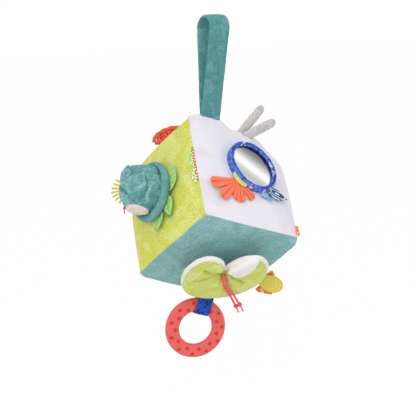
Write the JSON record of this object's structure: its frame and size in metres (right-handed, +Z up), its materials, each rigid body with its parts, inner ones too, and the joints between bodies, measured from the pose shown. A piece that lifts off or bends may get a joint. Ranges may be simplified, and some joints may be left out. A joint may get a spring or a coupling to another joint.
{
  "type": "soft fabric activity block",
  "caption": "Stuffed fabric activity cube for babies, hung by a strap loop, with a mirror, an animal head, a drawstring pocket, a teething ring and sewn tags.",
  "frame": {"origin": "top inside of the strap's loop, where the loop rests on the bar or hand that carries it", "axes": "+Z up, along the hanging strap; +X along the width of the strap, to the right in the front view; the white mirror face, the lime face with the head and the teal face with the pocket look to -Y and -X"},
  "size_m": [0.2225, 0.2178, 0.44],
  "materials": {
    "strap_velour": "soft velour",
    "lime_velour": "soft velour",
    "white_cotton": "plain woven cotton",
    "teal_velour": "soft velour",
    "cream_cotton": "plain woven cotton",
    "fibre": "polyester fibre",
    "mirror_film": "smooth reflective film",
    "foam": "soft wadding",
    "blue_print": "printed cotton",
    "orange_felt": "felt",
    "navy_cotton": "printed cotton",
    "pale_blue": "ribbon",
    "head_velour": "soft velour",
    "chin_plush": "plush",
    "leaf_print": "printed cotton",
    "dark_leaf": "printed cotton",
    "plush": "plush",
    "red_cord": "woven cord",
    "coral": "satin",
    "blue_ribbon": "satin ribbon",
    "yellow_felt": "felt",
    "yellow_cotton": "printed cotton",
    "grey_velour": "soft velour",
    "red_cotton": "printed cotton"
  },
  "bodies": {
    "strap": {"strap_loop": "strap_velour"},
    "block": {"stuffing": "fibre", "panel_lime_left": "lime_velour", "panel_lime_right": "lime_velour", "panel_white_front": "white_cotton", "panel_cream_top": "cream_cotton", "panel_teal_bottom": "teal_velour", "panel_teal_back": "teal_velour", "mirror_pad": "foam", "mirror_film": "mirror_film", "mirror_ring": "blue_print", "head_collar": "head_velour", "leaf_back": "dark_leaf", "pouch_front": "lime_velour", "pouch_lining": "plush", "draw_cord_left": "red_cord", "draw_cord_right": "red_cord", "draw_knot_left": "red_cord", "draw_knot_right": "red_cord", "back_cord": "red_cord", "back_cord_knot": "red_cord", "prong_left": "grey_velour", "prong_right": "grey_velour", "flower_heart": "red_cotton", "flower_ruffle": "orange_felt"},
    "head": {"animal_head": "head_velour", "head_hood": "head_velour", "chin_patch": "chin_plush"},
    "ribbon": {"ribbon_loop": "blue_ribbon"},
    "ring": {"teething_ring": "coral"},
    "fan": {"fan_tag": "orange_felt", "half_disc_tab": "lime_velour"},
    "drop": {"drop_tag": "navy_cotton", "fringe_tag": "pale_blue"},
    "seam_tag": {"seam_tag": "leaf_print"},
    "round_leaf": {"leaf_round": "leaf_print"},
    "middle_leaf": {"leaf_middle": "leaf_print"},
    "low_leaf": {"leaf_low": "leaf_print"},
    "oval": {"oval_tag": "yellow_cotton", "oval_tag_strip": "orange_felt"},
    "felt": {"felt_fan": "yellow_felt"},
    "corner_tag": {"corner_tag": "orange_felt"}
  },
  "joints": [
    {"name": "strap_swing", "type": "hinge", "parent": "strap", "child": "block", "pos_m": [-0.005, 0, -0.1145], "axis": [0.9364, 0, -0.3509], "range_deg": [-40, 40]},
    {"name": "ribbon_swing", "type": "hinge", "parent": "block", "child": "ribbon", "pos_m": [-0.00723, 0, -0.34101], "axis": [0.9364, 0, -0.3509], "range_deg": [-20, 45]},
    {"name": "ring_spin", "type": "hinge", "parent": "ribbon", "child": "ring", "pos_m": [-0.02739, 0, -0.39481], "axis": [0.2424, 0.9659, -0.0908], "continuous": true},
    {"name": "head_nod", "type": "hinge", "parent": "block", "child": "head", "pos_m": [-0.09429, 0, -0.19931], "axis": [0.2481, -0.7071, 0.6621], "range_deg": [-10, 10], "stiffness_Nm_per_rad": 0.2},
    {"name": "fan_flap", "type": "hinge", "parent": "block", "child": "fan", "pos_m": [-0.00619, -0.06925, -0.18228], "axis": [-0.4867, 0.5, 0.7163], "range_deg": [0, 15], "stiffness_Nm_per_rad": 0.004},
    {"name": "drop_flap", "type": "hinge", "parent": "block", "child": "drop", "pos_m": [0.02816, -0.07312, -0.19914], "axis": [-0.9504, -0.31, 0.0251], "range_deg": [0, 25], "stiffness_Nm_per_rad": 0.004},
    {"name": "seam_tag_flap", "type": "hinge", "parent": "block", "child": "seam_tag", "pos_m": [-0.05582, -0.0502, -0.16207], "axis": [0.2481, 0.7071, 0.6621], "range_deg": [0, 50], "stiffness_Nm_per_rad": 0.003},
    {"name": "round_leaf_flap", "type": "hinge", "parent": "block", "child": "round_leaf", "pos_m": [-0.0749, -0.02256, -0.18248], "axis": [-0.2481, -0.7071, -0.6621], "range_deg": [0, 8], "stiffness_Nm_per_rad": 0.004},
    {"name": "middle_leaf_flap", "type": "hinge", "parent": "block", "child": "middle_leaf", "pos_m": [-0.08379, -0.03178, -0.20621], "axis": [-0.3496, 0.0872, -0.9328], "range_deg": [0, 8], "stiffness_Nm_per_rad": 0.004},
    {"name": "low_leaf_flap", "type": "hinge", "parent": "block", "child": "low_leaf", "pos_m": [-0.08955, -0.02548, -0.22158], "axis": [-0.2648, 0.6561, -0.7067], "range_deg": [0, 8], "stiffness_Nm_per_rad": 0.004},
    {"name": "oval_swing", "type": "hinge", "parent": "block", "child": "oval", "pos_m": [0.04191, -0.04322, -0.31311], "axis": [-0.2481, 0.7071, -0.6621], "range_deg": [-30, 30], "stiffness_Nm_per_rad": 0.006},
    {"name": "felt_swing", "type": "hinge", "parent": "block", "child": "felt", "pos_m": [-0.07661, 0.08807, -0.21994], "axis": [0.2481, 0.7071, 0.6621], "range_deg": [0, 20], "stiffness_Nm_per_rad": 0.006},
    {"name": "corner_tag_swing", "type": "hinge", "parent": "block", "child": "corner_tag", "pos_m": [0.06333, -0.09253, -0.25093], "axis": [0.2481, 0.7071, 0.6621], "range_deg": [-30, 30], "stiffness_Nm_per_rad": 0.003}
  ]
}
